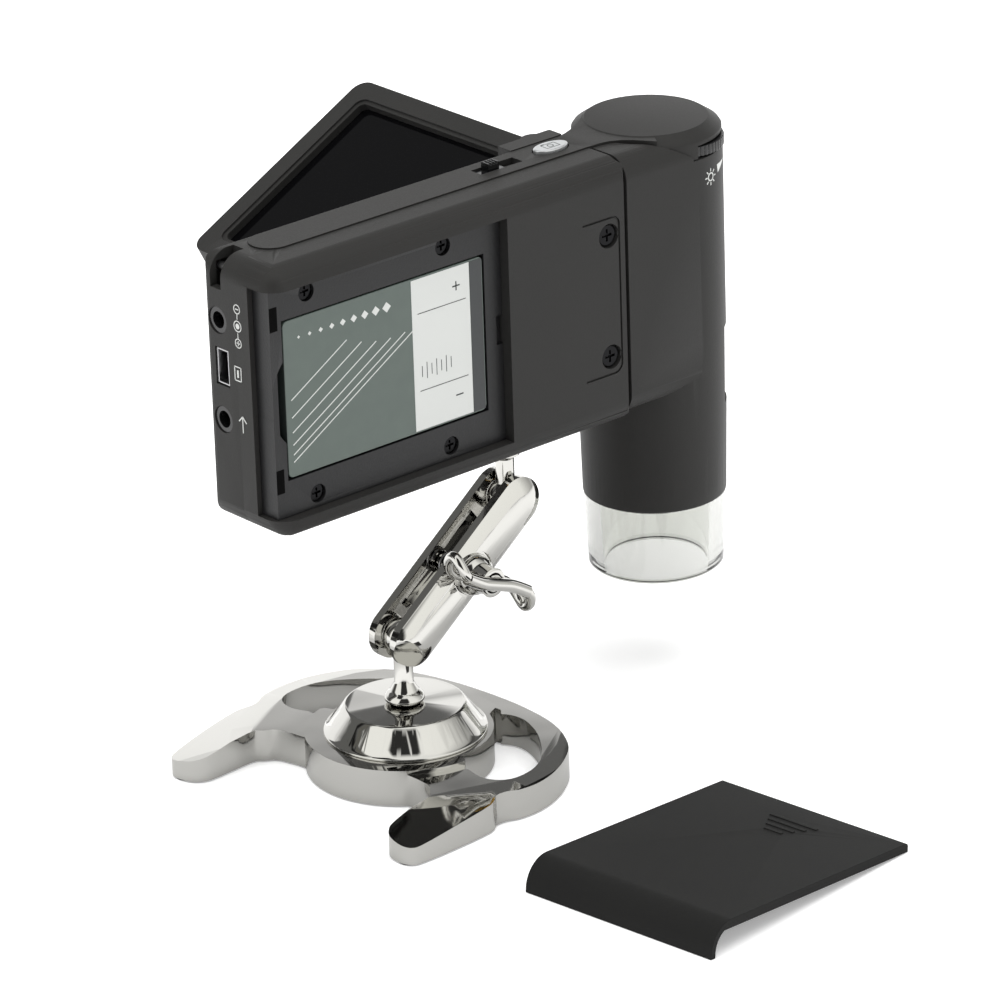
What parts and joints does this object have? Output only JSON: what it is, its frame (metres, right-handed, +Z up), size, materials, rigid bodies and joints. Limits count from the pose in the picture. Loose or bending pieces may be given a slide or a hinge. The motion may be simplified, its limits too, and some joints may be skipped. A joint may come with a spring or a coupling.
{
  "type": "lcd digital microscope",
  "caption": "Hand-held digital microscope with fold-out screen, clear nosepiece and removable battery on a chrome ball-joint desk stand, battery cover off.",
  "frame": {"origin": "centre of the stand base on the floor, under the ball post", "axes": "+Z up, +X along the body toward the barrel, +Y toward the screen side"},
  "size_m": [0.1326, 0.2139, 0.1259],
  "materials": {
    "chrome": "polished",
    "steel": "satin",
    "brass": "satin",
    "soft_black": "soft touch",
    "trim_black": "soft touch",
    "gloss_black": "gloss",
    "silver_plastic": "satin silver",
    "rubber": "matt",
    "clear": "clear",
    "screen_glass": "dark gloss",
    "board_green": "solder mask",
    "battery_wrap": "printed film",
    "led_white": "clear"
  },
  "bodies": {
    "stand_base": {"base_casting": "chrome", "base_cone": "chrome", "base_feet": "rubber"},
    "post": {"ball_post": "chrome", "post_nut": "steel"},
    "arm": {"arm_bar_near": "chrome", "arm_bar_far": "chrome", "arm_spring": "steel", "clamp_screw": "chrome", "knob_washer": "chrome"},
    "wing_knob": {"wing_knob": "chrome"},
    "head_stud": {"head_stud": "chrome"},
    "device": {"rear_casing": "soft_black", "front_casing": "soft_black", "strap_bar": "steel", "bay_frame": "trim_black", "bay_screws": "steel", "battery_contacts": "brass", "casing_screws": "steel", "tripod_bush": "brass", "main_board": "board_green", "dc_jack": "gloss_black", "usb_socket": "steel", "av_jack": "gloss_black", "card_slot": "steel", "top_strip": "trim_black", "power_switch": "steel", "snap_switch": "gloss_black", "barrel_housing": "soft_black", "led_ring": "silver_plastic", "leds": "led_white", "nosepiece": "clear", "sensor_board": "board_green", "hinge_pin": "steel"},
    "battery": {"battery": "battery_wrap"},
    "power_slider": {"power_slider": "gloss_black"},
    "snap_button": {"snap_button": "silver_plastic"},
    "brightness_wheel": {"brightness_wheel": "gloss_black"},
    "focus_wheel": {"focus_wheel": "trim_black"},
    "lens_carriage": {"lens_carriage": "trim_black", "objective_lenses": "clear"},
    "hinge_bracket": {"hinge_bracket": "soft_black"},
    "screen": {"tilt_shaft": "steel", "lcd_back": "soft_black", "lcd_bezel": "soft_black", "lcd_glass": "screen_glass", "lcd_display": "gloss_black", "lcd_screws": "steel"},
    "battery_cover": {"battery_cover": "soft_black"},
    "menu_button_1": {"menu_button_1": "trim_black"},
    "menu_button_2": {"menu_button_2": "trim_black"},
    "menu_button_3": {"menu_button_3": "trim_black"},
    "menu_button_4": {"menu_button_4": "trim_black"},
    "menu_button_5": {"menu_button_5": "trim_black"}
  },
  "joints": [
    {"name": "arm_swivel", "type": "hinge", "parent": "stand_base", "child": "post", "pos_m": [0, 0, 0.0296], "axis": [0, 0, 1], "range_deg": [-170, 170]},
    {"name": "arm_tilt", "type": "hinge", "parent": "post", "child": "arm", "pos_m": [0, 0, 0.0296], "axis": [0, -1, 0], "range_deg": [-6, 30]},
    {"name": "knob_turn", "type": "hinge", "parent": "arm", "child": "wing_knob", "pos_m": [0.0149, 0, 0.04107], "axis": [0, -1, 0], "continuous": true},
    {"name": "head_tilt", "type": "hinge", "parent": "arm", "child": "head_stud", "pos_m": [0.02979, 0, 0.05254], "axis": [0, 1, 0], "range_deg": [-12, 12]},
    {"name": "head_swivel", "type": "hinge", "parent": "head_stud", "child": "device", "pos_m": [0.02979, 0, 0.065], "axis": [0, 0, 1], "range_deg": [-100, 100]},
    {"name": "battery_slide", "type": "slide", "parent": "device", "child": "battery", "axis": [0, -1, 0], "range_m": [0, 0.012]},
    {"name": "power_slide", "type": "slide", "parent": "device", "child": "power_slider", "axis": [1, 0, 0], "range_m": [0, 0.0038]},
    {"name": "snap_press", "type": "slide", "parent": "device", "child": "snap_button", "axis": [0, 0, -1], "range_m": [0, 0.0004], "stiffness_N_per_m": 600},
    {"name": "menu_press_1", "type": "slide", "parent": "device", "child": "menu_button_1", "axis": [0, -1, 0], "range_m": [0, 0.0005], "stiffness_N_per_m": 500},
    {"name": "menu_press_2", "type": "slide", "parent": "device", "child": "menu_button_2", "axis": [0, -1, 0], "range_m": [0, 0.0005], "stiffness_N_per_m": 500},
    {"name": "menu_press_3", "type": "slide", "parent": "device", "child": "menu_button_3", "axis": [0, -1, 0], "range_m": [0, 0.0005], "stiffness_N_per_m": 500},
    {"name": "menu_press_4", "type": "slide", "parent": "device", "child": "menu_button_4", "axis": [0, -1, 0], "range_m": [0, 0.0005], "stiffness_N_per_m": 500},
    {"name": "menu_press_5", "type": "slide", "parent": "device", "child": "menu_button_5", "axis": [0, -1, 0], "range_m": [0, 0.0005], "stiffness_N_per_m": 500},
    {"name": "brightness_turn", "type": "hinge", "parent": "device", "child": "brightness_wheel", "pos_m": [0.07984, -0.00089, 0.1241], "axis": [0, 0, 1], "range_deg": [-120, 120]},
    {"name": "focus_turn", "type": "hinge", "parent": "device", "child": "focus_wheel", "pos_m": [0.0766, 0.0052, 0.068], "axis": [0, 0, 1], "range_deg": [-150, 150]},
    {"name": "focus_travel", "type": "slide", "parent": "device", "child": "lens_carriage", "axis": [0, 0, 1], "range_m": [-0.004, 0.004]},
    {"name": "screen_swing", "type": "hinge", "parent": "device", "child": "hinge_bracket", "pos_m": [0.0505, 0.011, 0.09455], "axis": [0, 0, 1], "range_deg": [0, 62.6]},
    {"name": "screen_tilt", "type": "hinge", "parent": "hinge_bracket", "child": "screen", "pos_m": [0.0548, 0.011, 0.09455], "axis": [0, -1, 0], "range_deg": [0, 62.6]},
    {"name": "cover_lift", "type": "slide", "parent": "stand_base", "child": "battery_cover", "axis": [0, 0, 1], "range_m": [0, 0.005]}
  ],
  "couplings": [
    {"joint": "screen_tilt", "follows": "screen_swing", "ratio": 1},
    {"joint": "focus_turn", "follows": "focus_travel", "rad_per_m": 654.5}
  ]
}
